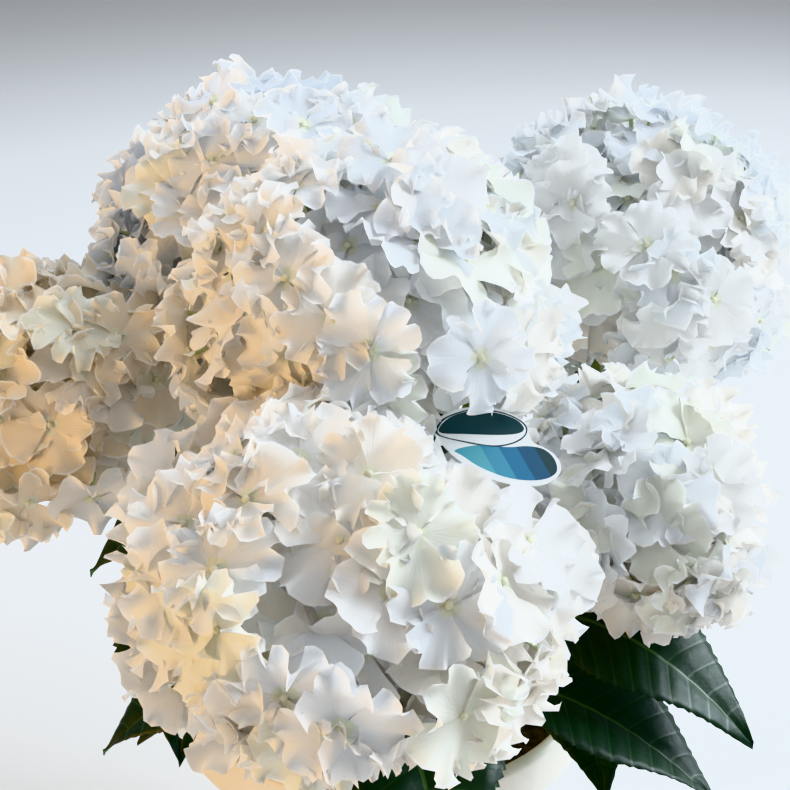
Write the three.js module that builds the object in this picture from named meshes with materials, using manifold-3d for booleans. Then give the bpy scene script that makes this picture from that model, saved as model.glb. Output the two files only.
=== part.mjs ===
// A white mophead hydrangea growing in a round glazed pot, with a blank plant label among the blooms.
// Millimetres, +Z up. The origin is the centre of the pot's flat underside.
// Each flower head grows on one stem that runs from the short woody crown at soil level:
// a bare limb, then a leafy stretch, then the head itself, each a solid of its own.

import * as THREE from "three";
import { mergeVertices } from "three/addons/utils/BufferGeometryUtils.js";
import Module from "manifold-3d";

const wasm = await Module();
wasm.setup();

// Clearance between two pieces that touch.
const GAP = 0.3;

// Pot: a tapered body under an upright collar that overhangs it.
const POT_HEIGHT = 175;
const FOOT_RADIUS = 66;
const BODY_TOP_RADIUS = 91;
const COLLAR_RADIUS = 105;
const COLLAR_HEIGHT = 26;
const COLLAR_WALL = 7;
const COLLAR_DRAFT = 0.06;
const BODY_WALL = 6;
const LEDGE_RISE = 5;
const POT_FLOOR = 9;
const POT_SEGMENTS = 40;

// Soil: fills the pot and rises a little towards the woody crown.
const SOIL_EDGE_LEVEL = 156;
const SOIL_CROWN_LEVEL = 162;
const SOIL_SEAT_RADIUS = 24;
const SOIL_LUMP = 2.2;
const SOIL_SEGMENTS = 20;

// Woody crown: flares to its flat cut on the soil and forks into one arm for each limb.
const CROWN_FLARE_RADIUS = 20;
const CROWN_WAIST_RADIUS = 12.5;
const CROWN_HEIGHT = 24;
const ARM_ROOT_HEIGHT = 10;
const ARM_LENGTH = 38;
const ARM_OFFSET = 4;

// Stems taper evenly from the woody crown to the flower head. Each is one bent curve, whose pull
// at either end is a share of the straight way between them.
const STEM_FOOT_RADIUS = 5;
const STEM_TIP_RADIUS = 3.4;
const STEM_SIDES = 6;
const PULL_AT_CROWN = 0.4;
const PULL_AT_TIP = 0.32;
const LIMB_STEP = 26;
const LEAFY_STRETCH = 62;
const HEAD_STALK = 16;
const HEAD_DEPTH = 0.16;
const HEAD_SEAT = 0.8;
const BARE_LEAST = 16;
const SHOOT_BARE = 6;
const SHOOT_TIP_RISE = 30;

// Flower heads: where each stands, how far it reaches, how flat it is and where it leans.
// The last three numbers place the stem's arm and its leaf pairs.
const HEADS = [
  {
    name: "front", at: [-12, -152, 328], radius: 92, flatness: 0.72, leanTo: -95, lean: 24,
    armTo: -92, armRise: 46, leafTurn: 18,
  },
  {
    name: "right_front", at: [116, -46, 292], radius: 64, flatness: 0.95, leanTo: -20, lean: 36,
    armTo: -20, armRise: 48, leafTurn: -118,
  },
  {
    name: "left", at: [-157, 40, 304], radius: 85, flatness: 0.82, leanTo: 166, lean: 20,
    armTo: 168, armRise: 48, leafTurn: 185,
  },
  {
    name: "top_front", at: [-5, -41, 386], radius: 89, flatness: 0.88, leanTo: -90, lean: 8,
    armTo: -125, armRise: 80, leafTurn: 20,
  },
  {
    name: "top_right", at: [130, 117, 350], radius: 90, flatness: 0.95, leanTo: 40, lean: 16,
    armTo: 46, armRise: 68, leafTurn: -50,
  },
  {
    name: "top_back", at: [-60, 92, 381], radius: 88, flatness: 0.82, leanTo: 176, lean: 20,
    armTo: 145, armRise: 74, leafTurn: 120,
  },
  {
    name: "right", at: [138, 50, 246], radius: 52, flatness: 0.85, leanTo: 20, lean: 34,
    armTo: 16, armRise: 44, leafTurn: 10,
  },
  {
    name: "back", at: [56, 186, 278], radius: 78, flatness: 0.82, leanTo: 72, lean: 26,
    armTo: 76, armRise: 46, leafTurn: 60,
  },
  {
    name: "back_left", at: [-96, 180, 270], radius: 76, flatness: 0.82, leanTo: 118, lean: 26,
    armTo: 116, armRise: 46, leafTurn: 160,
  },
];

// Leafy side shoots that carry no flower: four low round the rim, one up between the heads.
const SHOOTS = [
  { name: "front_right", tip: [56, -74, 212], armTo: -54, armRise: 48, leafTurn: 62 },
  { name: "front_left", tip: [-40, -44, 210], armTo: -146, armRise: 56, leafTurn: -147 },
  { name: "middle", tip: [36, 62, 332], armTo: 20, armRise: 84, leafTurn: 10 },
  { name: "back_left", tip: [-62, 66, 228], armTo: 140, armRise: 44, leafTurn: 175 },
  { name: "back_right", tip: [76, 74, 226], armTo: 46, armRise: 40, leafTurn: 20 },
];

// Florets: four broad sepals round a bud, on a thin stalk sunk in the head's core.
const FLORET_RADIUS = 32;
const FLORET_SHARE = 3300;
const FLORET_THICKNESS = 2.4;
const FLORET_CUP = 5;
const FLORET_RUFFLE = 3;
const STALK_RADIUS = 1.4;
const STALK_TURN = 15;
const STALK_PROBE = 9;
const HEAD_SPREAD = 128;
const CORE_SHARE = 0.66;
const RAY_COUNT = 3;
const STAGGER = 0.05;
const SPACE_MARGIN = 0.035;
const ROOM_TRIES = [[1, 1], [0.93, 1], [0.98, 0.76], [0.88, 0.76], [0.84, 0.6]];
const FIRST_SEED = 11;

// Leaves: in opposite pairs, each pair turned a quarter from the last.
const LEAF_LENGTH = 106;
const LEAF_WIDTH = 66;
const LEAF_THICKNESS = 2.2;
const PETIOLE_LENGTH = 24;
const PETIOLE_RADIUS = 2;
const LEAF_RISE = 0.14;
const LEAF_DROOP = 0.5;
const LEAF_FOLD = 0.16;
const PETIOLE_RISE = 14;
const PAIR_STEP = 27;
const TOP_PAIR_BELOW = 10;
const LEAF_SIZES = [1, 0.8, 0.62];
const LEAF_ROOM = 1;

// Label: a rounded plate on a slim stick whose foot stands a hair clear of the soil.
const LABEL_CENTRE = [47, -98, 350];
const LABEL_FACES = -80;
const LABEL_TILT = 48;
const LABEL_TURN = -14;
const LABEL_WIDTH = 56;
const LABEL_HEIGHT = 40;
const LABEL_THICKNESS = 1;
const STICK_FOOT = [15, -48];
const STICK_WIDTH = 9;
const STICK_THICKNESS = 1.6;
const STICK_LIFT = 4.1;
const LABEL_ROOM = 8;
const STEM_ROOM = 9;

const GOLDEN_ANGLE = Math.PI * (3 - Math.sqrt(5));
const UP = new THREE.Vector3(0, 0, 1);

const glaze = new THREE.MeshStandardMaterial({ color: "#e6dccb", roughness: 0.3 });
const compost = new THREE.MeshStandardMaterial({ color: "#2c2119", roughness: 0.95 });
const bark = new THREE.MeshStandardMaterial({ color: "#7a6a4e", roughness: 0.85 });
const greenStem = new THREE.MeshStandardMaterial({ color: "#6f8a45", roughness: 0.6 });
const foliage = new THREE.MeshStandardMaterial({ color: "#1f4a2a", roughness: 0.45 });
const petal = new THREE.MeshStandardMaterial({ color: "#f4f3ec", roughness: 0.6 });
const labelCard = new THREE.MeshStandardMaterial({ color: "#eef1f1", roughness: 0.35 });

const plant = new THREE.Group();

function addPart(name, geometry, material) {
  const mesh = new THREE.Mesh(geometry, material);
  mesh.name = name;
  plant.add(mesh);
}

function seededRandom(seed) {
  let state = seed;
  return () => {
    state = (state * 1664525 + 1013904223) % 4294967296;
    return state / 4294967296;
  };
}

function degrees(angle) {
  return (angle * Math.PI) / 180;
}

function inDegrees(angle) {
  return (angle * 180) / Math.PI;
}

function direction(azimuth, rise) {
  const flat = Math.cos(degrees(rise));
  const x = flat * Math.cos(degrees(azimuth));
  const y = flat * Math.sin(degrees(azimuth));
  return new THREE.Vector3(x, y, Math.sin(degrees(rise)));
}

// A closed three.js geometry as a solid, and a solid back as a geometry.
function solidOf(geometry) {
  const bare = geometry.clone();
  bare.deleteAttribute("normal");
  bare.deleteAttribute("uv");
  const merged = mergeVertices(bare, 1e-4);
  const vertProperties = merged.getAttribute("position").array;
  const triVerts = new Uint32Array(merged.getIndex().array);
  return new wasm.Manifold(new wasm.Mesh({ numProp: 3, vertProperties, triVerts }));
}

function geometryOf(solid) {
  const mesh = solid.getMesh();
  const geometry = new THREE.BufferGeometry();
  geometry.setAttribute("position", new THREE.BufferAttribute(mesh.vertProperties, 3));
  geometry.setIndex(new THREE.BufferAttribute(mesh.triVerts, 1));
  geometry.computeVertexNormals();
  return geometry;
}

// Joins solids and keeps the one outer body, so a hollow that the joining seals is filled.
function fuse(solids) {
  const joined = wasm.Manifold.union(solids).simplify(0.02);
  return joined.decompose().reduce((best, body) => (body.volume() > best.volume() ? body : best));
}

// Moves every vertex of a geometry to the point that a function gives for it.
function reshape(geometry, place) {
  const position = geometry.getAttribute("position");
  const point = new THREE.Vector3();
  for (let i = 0; i < position.count; i += 1) {
    point.fromBufferAttribute(position, i);
    place(point);
    position.setXYZ(i, point.x, point.y, point.z);
  }
  return geometry;
}

// A frame whose third axis is the given direction and whose first is as level as it can be.
function frameOn(axis) {
  const third = axis.clone().normalize();
  const guide = Math.abs(third.z) > 0.999 ? new THREE.Vector3(0, 1, 0) : UP;
  const first = new THREE.Vector3().crossVectors(guide, third).normalize();
  const second = new THREE.Vector3().crossVectors(third, first);
  return new THREE.Matrix4().makeBasis(first, second, third);
}

// One tapering limb along a stretch of a curve, from length a to length b, with flat ends.
function limb(curve, a, b, radiusAt, sides) {
  const steps = Math.max(1, Math.round((b - a) / LIMB_STEP));
  const tube = new THREE.CylinderGeometry(1, 1, 1, sides, steps);
  const whole = curve.getLength();
  return reshape(tube, (point) => {
    const along = a + (b - a) * (point.y + 0.5);
    const share = Math.min(1, along / whole);
    const section = frameOn(curve.getTangentAt(share));
    const radius = radiusAt(along);
    const turned = new THREE.Vector3(point.z * radius, point.x * radius, 0).applyMatrix4(section);
    point.copy(curve.getPointAt(share)).add(turned);
  });
}

// A thin straight stalk between two points.
function stalk(from, to, radius) {
  return limb(new THREE.LineCurve3(from, to), 0, from.distanceTo(to), () => radius, 3);
}

// Pot

function innerRadius(z) {
  const shoulder = POT_HEIGHT - COLLAR_HEIGHT;
  if (z > shoulder) return COLLAR_RADIUS - COLLAR_WALL - (POT_HEIGHT - z) * COLLAR_DRAFT;
  const share = (z - POT_FLOOR) / (shoulder - POT_FLOOR);
  const foot = FOOT_RADIUS - BODY_WALL;
  const top = BODY_TOP_RADIUS - BODY_WALL;
  return foot + (top - foot) * share;
}

function pot() {
  const shoulder = POT_HEIGHT - COLLAR_HEIGHT;
  const lip = COLLAR_WALL / 2;
  const rim = [0, 60, 120, 180].map((turn) => {
    const across = COLLAR_RADIUS - lip + lip * Math.cos(degrees(turn));
    return [across, POT_HEIGHT - lip + lip * Math.sin(degrees(turn))];
  });
  const profile = [
    [0, 0],
    [FOOT_RADIUS - 3, 0],
    [FOOT_RADIUS, 3],
    [BODY_TOP_RADIUS, shoulder - 2.5],
    [COLLAR_RADIUS - 3, shoulder],
    [COLLAR_RADIUS, shoulder + 3],
    ...rim,
    [innerRadius(shoulder + LEDGE_RISE), shoulder + LEDGE_RISE],
    [innerRadius(shoulder), shoulder],
    [innerRadius(POT_FLOOR), POT_FLOOR],
    [0, POT_FLOOR],
  ].map(([x, y]) => new THREE.Vector2(x, y));
  return new THREE.LatheGeometry(profile, POT_SEGMENTS).rotateX(Math.PI / 2);
}

function soil() {
  const shoulder = POT_HEIGHT - COLLAR_HEIGHT;
  const clear = (z) => innerRadius(z) - GAP * 2;
  const middle = (clear(SOIL_EDGE_LEVEL) + SOIL_SEAT_RADIUS) / 2;
  const profile = [
    [0, POT_FLOOR + GAP],
    [clear(POT_FLOOR), POT_FLOOR + GAP],
    [clear(shoulder), shoulder],
    [clear(shoulder + LEDGE_RISE), shoulder + LEDGE_RISE + GAP],
    [clear(SOIL_EDGE_LEVEL), SOIL_EDGE_LEVEL],
    [middle, (SOIL_EDGE_LEVEL + SOIL_CROWN_LEVEL) / 2],
    [SOIL_SEAT_RADIUS, SOIL_CROWN_LEVEL],
    [0, SOIL_CROWN_LEVEL],
  ].map(([x, y]) => new THREE.Vector2(x, y));
  const body = new THREE.LatheGeometry(profile, SOIL_SEGMENTS).rotateX(Math.PI / 2);
  return reshape(body, (point) => {
    const reach = Math.hypot(point.x, point.y);
    if (Math.abs(reach - middle) > 1 || point.z < SOIL_EDGE_LEVEL) return;
    const lumps = Math.sin(point.x * 0.21) + Math.cos(point.y * 0.17 + point.x * 0.06);
    point.z += SOIL_LUMP * lumps * 0.5;
  });
}

// Stems

// The whole run of one stem, from inside the woody crown to the point that it carries.
function stemCurve(spec, end, endAxis) {
  const outward = direction(spec.armTo, 0);
  const root = outward.clone().multiplyScalar(ARM_OFFSET);
  root.z = SOIL_CROWN_LEVEL + GAP + ARM_ROOT_HEIGHT;
  const way = root.distanceTo(end);
  const rising = direction(spec.armTo, spec.armRise);
  const leave = root.clone().addScaledVector(rising, way * PULL_AT_CROWN);
  const arrive = end.clone().addScaledVector(endAxis, -way * PULL_AT_TIP);
  const curve = new THREE.CubicBezierCurve3(root, leave, arrive, end);
  curve.arcLengthDivisions = 400;
  return curve;
}

function stemRadius(curve) {
  const whole = curve.getLength();
  return (along) => STEM_FOOT_RADIUS + (STEM_TIP_RADIUS - STEM_FOOT_RADIUS) * (along / whole);
}

// Where along its stem a flower head begins.
function headStart(head, curve) {
  return curve.getLength() - HEAD_STALK - head.radius * HEAD_DEPTH;
}

function woodyCrown(curves) {
  const foot = SOIL_CROWN_LEVEL + GAP;
  const profile = [
    [0, foot],
    [CROWN_FLARE_RADIUS, foot],
    [CROWN_FLARE_RADIUS - 3.5, foot + 4],
    [CROWN_WAIST_RADIUS, foot + CROWN_HEIGHT * 0.5],
    [CROWN_WAIST_RADIUS * 0.8, foot + CROWN_HEIGHT],
    [0, foot + CROWN_HEIGHT + 2],
  ].map(([x, y]) => new THREE.Vector2(x, y));
  const base = new THREE.LatheGeometry(profile, 12).rotateX(Math.PI / 2);
  const arms = curves.map((curve) => limb(curve, 0, ARM_LENGTH, stemRadius(curve), STEM_SIDES));
  return fuse([base, ...arms].map(solidOf));
}

// Leaves

// A leaf blade is a squashed lens: pointed, widest below its middle, arched and slightly folded.
function leafBlade(from, heading, size) {
  const length = LEAF_LENGTH * size;
  const halfWidth = LEAF_WIDTH * size * 0.5;
  const level = new THREE.Vector3(heading.x, heading.y, 0).normalize();
  const across = new THREE.Vector3().crossVectors(UP, level);
  const lens = new THREE.SphereGeometry(1, 4, 3);
  return reshape(lens, (point) => {
    const share = (1 - point.y) / 2;
    const ring = share > 0.1 && share < 0.9;
    const along = ring ? (share < 0.5 ? 0.32 : 0.7) : share;
    const widths = share < 0.5 ? 0.96 : 0.72;
    const side = ring ? Math.round(point.x / 0.8) * widths * halfWidth : 0;
    const thick = ring ? Math.round(point.z / 0.8) * 0.5 * LEAF_THICKNESS : 0;
    const lift = LEAF_RISE * along - LEAF_DROOP * along * along;
    point.copy(from).addScaledVector(level, length * along * Math.cos(lift * 0.6));
    point.addScaledVector(across, side);
    point.z += length * lift + Math.abs(side) * LEAF_FOLD + thick;
  });
}

// The solids of one leaf that leaves the stem at a point: its petiole and its blade.
function leaf(from, azimuth, size) {
  const heading = direction(azimuth, PETIOLE_RISE);
  const joint = from.clone().addScaledVector(heading, PETIOLE_LENGTH + STEM_TIP_RADIUS);
  const sunk = joint.clone().addScaledVector(heading, LEAF_LENGTH * size * 0.12);
  const blade = leafBlade(joint, heading, size);
  return [stalk(from, sunk, PETIOLE_RADIUS), blade];
}

// Whether a leaf is clear of the pot, the flower heads, the label, other limbs and earlier leaves.
function leafFits(solid, curve) {
  return placed.every((other) => {
    return other.curve === curve || solid.minGap(other.solid, LEAF_ROOM) >= LEAF_ROOM;
  });
}

// Pairs of leaves down a stretch of stem. A leaf with no room grows smaller, or is left out.
function leafPairs(curve, from, to, turn) {
  const whole = curve.getLength();
  const made = [];
  const pairs = Math.max(1, Math.round((to - from) / PAIR_STEP));
  for (let pair = 0; pair < pairs; pair += 1) {
    const along = to - TOP_PAIR_BELOW - pair * PAIR_STEP;
    const node = curve.getPointAt(along / whole);
    for (const side of [0, 180]) {
      const azimuth = turn + side + pair * 90;
      const sizes = LEAF_SIZES.map((size) => fuse(leaf(node, azimuth, size).map(solidOf)));
      const solid = sizes.find((candidate) => leafFits(candidate, curve));
      if (!solid) continue;
      placed.push({ curve, solid });
      made.push(solid);
    }
  }
  return made;
}

// Flower heads

// One floret: a thin lens whose rim is drawn in between four sepals and ruffled up and down.
function floretLens(place, size, cup) {
  const half = FLORET_THICKNESS / 2;
  const section = [[0, -half], [1, 0], [0, half]].map(([x, y]) => new THREE.Vector2(x, y));
  const lens = new THREE.LatheGeometry(section, 12).rotateX(Math.PI / 2);
  const rim = [1, 0.62, 1];
  const wave = [-0.7, -0.3, 1];
  return reshape(lens, (point) => {
    const reach = Math.hypot(point.x, point.y);
    if (reach > 0.5) {
      const step = Math.round(Math.atan2(point.y, point.x) / (Math.PI / 6));
      const corner = ((step % 3) + 3) % 3;
      point.x *= size * rim[corner];
      point.y *= size * rim[corner];
      point.z = cup + FLORET_RUFFLE * wave[corner];
    }
    point.applyMatrix4(place);
  });
}

function headFrame(head) {
  const axis = direction(head.leanTo, 90 - head.lean);
  return frameOn(axis).setPosition(new THREE.Vector3(...head.at));
}

// How far out a point lies in a head's own space: 1 on its outline.
function level(head, point) {
  const inside = point.clone().applyMatrix4(headFrame(head).invert());
  inside.z /= head.flatness;
  return inside.length() / head.radius;
}

function labelFrame() {
  const face = direction(LABEL_FACES, LABEL_TILT);
  const frame = frameOn(face).setPosition(new THREE.Vector3(...LABEL_CENTRE));
  return frame.multiply(new THREE.Matrix4().makeRotationZ(degrees(LABEL_TURN)));
}

// Whether a point is clear of the label and its stick.
function clearsLabel(point) {
  const onLabel = point.clone().applyMatrix4(labelFrame().invert());
  const besideX = Math.abs(onLabel.x) < LABEL_WIDTH / 2 + LABEL_ROOM;
  const besideY = Math.abs(onLabel.y) < LABEL_HEIGHT / 2 + LABEL_ROOM;
  return !(besideX && besideY && Math.abs(onLabel.z) < LABEL_ROOM);
}

// Whether a point is on a head's own side of its neighbours and clear of their stems and the label.
function isFree(head, point) {
  const own = level(head, point);
  if (HEADS.some((other) => other !== head && level(other, point) < own + SPACE_MARGIN)) return false;
  const crossed = HEADS.some((other, index) => {
    return other !== head && stemPoints[index].some((spot) => spot.distanceTo(point) < STEM_ROOM);
  });
  return !crossed && clearsLabel(point);
}

// Points over a floret and down its stalk, which tell whether it has room where it stands.
const floretProbes = [0, 45, 90, 135, 180, 225, 270, 315].flatMap((turn) => {
  return [0.5, 1].map((share) => {
    return direction(turn, 0).multiplyScalar(FLORET_RADIUS * share).setZ(FLORET_CUP * share);
  });
});
floretProbes.push(new THREE.Vector3(0, 0, -STALK_PROBE), new THREE.Vector3(0, 0, -2 * STALK_PROBE));

// Florets stand on the head's outline in a golden-angle spiral from its top to below its widest part.
function floretPlaces(head, seed) {
  const random = seededRandom(seed);
  const frame = headFrame(head);
  const spread = 1 - Math.cos(degrees(HEAD_SPREAD));
  const area = 2 * Math.PI * head.radius ** 2 * spread * (0.35 + 0.65 * head.flatness);
  const count = Math.round(area / FLORET_SHARE);
  const places = [];
  for (let i = 0; i < count; i += 1) {
    const polar = Math.acos(1 - (spread * (i + 0.5)) / count);
    const turn = i * GOLDEN_ANGLE + random() * 0.3;
    const spin = random() * Math.PI;
    const stagger = i % 2 ? STAGGER : 0;
    const ray = direction(inDegrees(turn), 90 - inDegrees(polar));
    const facing = new THREE.Vector3(ray.x, ray.y, ray.z / head.flatness);
    const tries = ROOM_TRIES.map(([share, size]) => {
      return floretPlace(head, frame, ray, facing, spin, share - stagger, size);
    });
    const place = tries.find((candidate) => {
      return floretProbes.every((probe) => isFree(head, probe.clone().applyMatrix4(candidate)));
    });
    if (place) places.push(place);
  }
  return places;
}

function floretPlace(head, frame, ray, facing, spin, share, size) {
  const reach = head.radius * share - (FLORET_CUP + FLORET_RUFFLE) * size;
  const centre = new THREE.Vector3(ray.x * reach, ray.y * reach, ray.z * reach * head.flatness);
  const turned = frameOn(facing).multiply(new THREE.Matrix4().makeRotationZ(spin));
  return frame.clone().multiply(turned.setPosition(centre)).scale(new THREE.Vector3(size, size, size));
}

function flowerHead(head, curve, from, seed) {
  const frame = headFrame(head);
  const core = new THREE.IcosahedronGeometry(head.radius * CORE_SHARE, 1);
  core.scale(1, 1, head.flatness).applyMatrix4(frame);
  const whole = curve.getLength();
  const pieces = [core, limb(curve, from, whole, stemRadius(curve), STEM_SIDES)];
  const fork = curve.getPointAt((from + HEAD_STALK * 0.6) / whole);
  for (let ray = 0; ray < RAY_COUNT; ray += 1) {
    const turn = (ray * 2 * Math.PI) / RAY_COUNT;
    const reach = head.radius * CORE_SHARE * 0.78;
    const end = new THREE.Vector3(Math.cos(turn) * reach, Math.sin(turn) * reach, -0.15 * head.radius);
    pieces.push(stalk(fork, end.applyMatrix4(frame), STALK_RADIUS * 1.4));
  }
  const middle = new THREE.Vector3().setFromMatrixPosition(frame);
  for (const place of floretPlaces(head, seed)) {
    const under = direction(STALK_TURN, 0).multiplyScalar(FLORET_RADIUS * 0.32);
    const seat = under.setZ(FLORET_CUP * 0.32).applyMatrix4(place);
    const sunk = middle.clone().lerp(seat, CORE_SHARE * 0.85);
    pieces.push(stalk(sunk, seat, STALK_RADIUS));
    pieces.push(floretLens(place, FLORET_RADIUS, FLORET_CUP));
  }
  return fuse(pieces.map(solidOf));
}

// Label

function label() {
  const plate = new THREE.Shape();
  plate.absellipse(0, 0, LABEL_WIDTH / 2, LABEL_HEIGHT / 2, 0, Math.PI * 2);
  const sheet = { depth: LABEL_THICKNESS, bevelEnabled: false, curveSegments: 10 };
  const card = new THREE.ExtrudeGeometry(plate, sheet);
  card.applyMatrix4(labelFrame());
  const centre = new THREE.Vector3(...LABEL_CENTRE);
  const foot = new THREE.Vector3(STICK_FOOT[0], STICK_FOOT[1], SOIL_EDGE_LEVEL + STICK_LIFT);
  const run = centre.clone().sub(foot);
  const stick = new THREE.BoxGeometry(STICK_WIDTH, STICK_THICKNESS, run.length());
  stick.translate(0, 0, run.length() / 2);
  stick.applyMatrix4(frameOn(run).setPosition(foot));
  return fuse([solidOf(card), solidOf(stick)]);
}

const stems = HEADS.map((head) => {
  const axis = direction(head.leanTo, 90 - head.lean);
  const below = head.radius * head.flatness * CORE_SHARE * HEAD_SEAT;
  return stemCurve(head, new THREE.Vector3(...head.at).addScaledVector(axis, -below), axis);
});
const shootStems = SHOOTS.map((shoot) => {
  return stemCurve(shoot, new THREE.Vector3(...shoot.tip), direction(shoot.armTo, SHOOT_TIP_RISE));
});
const stemPoints = stems.map((curve) => curve.getSpacedPoints(30));
const potShape = pot();
const labelSolid = label();
const blooms = HEADS.map((head, index) => {
  return flowerHead(head, stems[index], headStart(head, stems[index]), FIRST_SEED + index);
});
const placed = [solidOf(potShape), labelSolid, ...blooms].map((solid) => ({ curve: null, solid }));
for (const curve of [...stems, ...shootStems]) {
  const run = curve.getLength();
  placed.push({ curve, solid: solidOf(limb(curve, 0, run, stemRadius(curve), STEM_SIDES)) });
}

addPart("pot", potShape, glaze);
addPart("soil", soil(), compost);
addPart("woody_crown", geometryOf(woodyCrown([...stems, ...shootStems])), bark);
addPart("label", geometryOf(labelSolid), labelCard);

HEADS.forEach((head, index) => {
  const curve = stems[index];
  const radius = stemRadius(curve);
  const headFrom = headStart(head, curve);
  const leafFrom = Math.max(headFrom - LEAFY_STRETCH, ARM_LENGTH + BARE_LEAST);
  const bare = limb(curve, ARM_LENGTH + GAP, leafFrom - GAP, radius, STEM_SIDES);
  addPart("stem_" + head.name, bare, greenStem);
  const leafy = limb(curve, leafFrom, headFrom - GAP, radius, STEM_SIDES);
  const leaves = leafPairs(curve, leafFrom, headFrom, head.leafTurn);
  addPart("foliage_" + head.name, geometryOf(fuse([solidOf(leafy), ...leaves])), foliage);
  addPart("mophead_" + head.name, geometryOf(blooms[index]), petal);
});

SHOOTS.forEach((shoot, index) => {
  const curve = shootStems[index];
  const whole = curve.getLength();
  const twig = limb(curve, ARM_LENGTH + GAP, whole, stemRadius(curve), STEM_SIDES);
  const leafFrom = Math.max(whole - LEAFY_STRETCH, ARM_LENGTH + SHOOT_BARE);
  const leaves = leafPairs(curve, leafFrom, whole, shoot.leafTurn);
  addPart("shoot_" + shoot.name, geometryOf(fuse([solidOf(twig), ...leaves])), foliage);
});

export default plant;
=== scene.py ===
import bmesh
import bpy
import math
import numpy as np
from mathutils import Matrix, Vector, noise


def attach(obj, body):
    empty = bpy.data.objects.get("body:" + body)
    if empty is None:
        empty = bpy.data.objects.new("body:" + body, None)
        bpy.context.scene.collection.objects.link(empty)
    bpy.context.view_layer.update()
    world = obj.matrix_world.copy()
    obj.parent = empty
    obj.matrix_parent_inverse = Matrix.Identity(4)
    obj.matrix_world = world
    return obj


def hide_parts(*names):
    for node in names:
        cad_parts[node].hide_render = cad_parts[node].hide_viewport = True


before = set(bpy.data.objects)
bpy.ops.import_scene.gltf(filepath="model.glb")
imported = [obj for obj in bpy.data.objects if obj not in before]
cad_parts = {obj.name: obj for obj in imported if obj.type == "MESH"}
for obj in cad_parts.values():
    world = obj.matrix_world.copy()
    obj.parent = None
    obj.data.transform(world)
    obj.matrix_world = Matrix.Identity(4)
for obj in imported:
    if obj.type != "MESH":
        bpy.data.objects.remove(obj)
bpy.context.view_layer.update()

# Camera
# It looks down on the blooms from the front, as the photograph does. Its distance and lens were
# worked out from the pot's collar and the outlines of the flower heads.
FILM_WIDTH = 36
FOCAL_LENGTH = 1550
PICTURE_SIDE = 790
CAMERA_PLACE = (0.006, -0.6471, 0.6479)
lens = bpy.data.cameras.new("camera")
lens.sensor_width = FILM_WIDTH
lens.lens = FILM_WIDTH * FOCAL_LENGTH / PICTURE_SIDE
camera = bpy.data.objects.new("camera", lens)
camera.location = CAMERA_PLACE
camera.rotation_euler = Vector((0, 0.8949, -0.4462)).to_track_quat("-Z", "Y").to_euler()
bpy.context.collection.objects.link(camera)
bpy.context.scene.camera = camera

# Pot
# A thrown ceramic pot under a cream satin glaze: a tapered body below an upright collar that
# overhangs it. The glaze is cloudy, with broad darker, browner patches and fine dark specks.
MM = 0.001
POT_HEIGHT = 175
FOOT_RADIUS = 66
BODY_TOP_RADIUS = 91
COLLAR_RADIUS = 105
COLLAR_HEIGHT = 26
COLLAR_WALL = 7
COLLAR_DRAFT = 0.06
BODY_WALL = 6
LEDGE_RISE = 5
POT_FLOOR = 9
SHOULDER = POT_HEIGHT - COLLAR_HEIGHT
FOOT_RING_HEIGHT = 1.5
CORNER = 3
BODY_RINGS = 10
COLLAR_RINGS = 5
COLLAR_HOLLOW = 0.25
POT_SIDES = 144
THROWING_MARKS = 0.5


class Wired:
    """A shader socket. Arithmetic on it adds Math nodes."""

    def __init__(self, finish, socket):
        self.finish = finish
        self.socket = socket

    def maths(self, operation, first, second):
        return self.finish.node("ShaderNodeMath", {"operation": operation}, {0: first, 1: second})

    def __add__(self, other):
        return self.maths("ADD", self, other)

    def __mul__(self, other):
        return self.maths("MULTIPLY", self, other)

    __radd__ = __add__
    __rmul__ = __mul__


class Finish:
    """One material on a piece: its shader's fixed values, and the nodes that vary them."""

    def __init__(self, name, colour, roughness, **fixed):
        self.material = bpy.data.materials.new(name)
        self.material.use_nodes = True
        self.tree = self.material.node_tree
        self.shader = self.tree.nodes["Principled BSDF"]
        self.shader.inputs["Base Color"].default_value = (*colour, 1)
        self.shader.inputs["Roughness"].default_value = roughness
        for socket, value in fixed.items():
            self.shader.inputs[socket.replace("_", " ")].default_value = value

    def node(self, kind, settings, inputs, output=0):
        made = self.tree.nodes.new(kind)
        for name, value in settings.items():
            if name == "stops":
                for stop, (place, shade) in zip(made.color_ramp.elements, value):
                    stop.position = place
                    stop.color = (shade, shade, shade, 1)
            else:
                setattr(made, name, value)
        for name, value in inputs.items():
            self.join(value, made.inputs[name])
        return Wired(self, made.outputs[output])

    def join(self, value, socket):
        if isinstance(value, Wired):
            self.tree.links.new(value.socket, socket)
        else:
            socket.default_value = value

    def place(self, stretch=(1, 1, 1)):
        where = self.node("ShaderNodeTexCoord", {}, {}, "Object")
        return self.node("ShaderNodeMapping", {}, {"Vector": where, "Scale": stretch})

    def grain(self, scale, detail=3, stretch=(1, 1, 1)):
        inputs = {"Vector": self.place(stretch), "Scale": scale, "Detail": detail}
        return self.node("ShaderNodeTexNoise", {}, inputs, "Fac")

    def ramp(self, value, low, high):
        stops = ((low, 0), (high, 1))
        return self.node("ShaderNodeValToRGB", {"stops": stops}, {"Fac": value})

    def blend(self, share, first, second):
        inputs = {0: share, 6: (*first, 1), 7: (*second, 1)}
        return self.node("ShaderNodeMix", {"data_type": "RGBA"}, inputs, 2)

    def feed(self, name, value):
        self.join(value, self.shader.inputs[name])

    def relief(self, height, depth, strength=1):
        inputs = {"Height": height, "Distance": depth, "Strength": strength}
        self.feed("Normal", self.node("ShaderNodeBump", {}, inputs))


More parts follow.
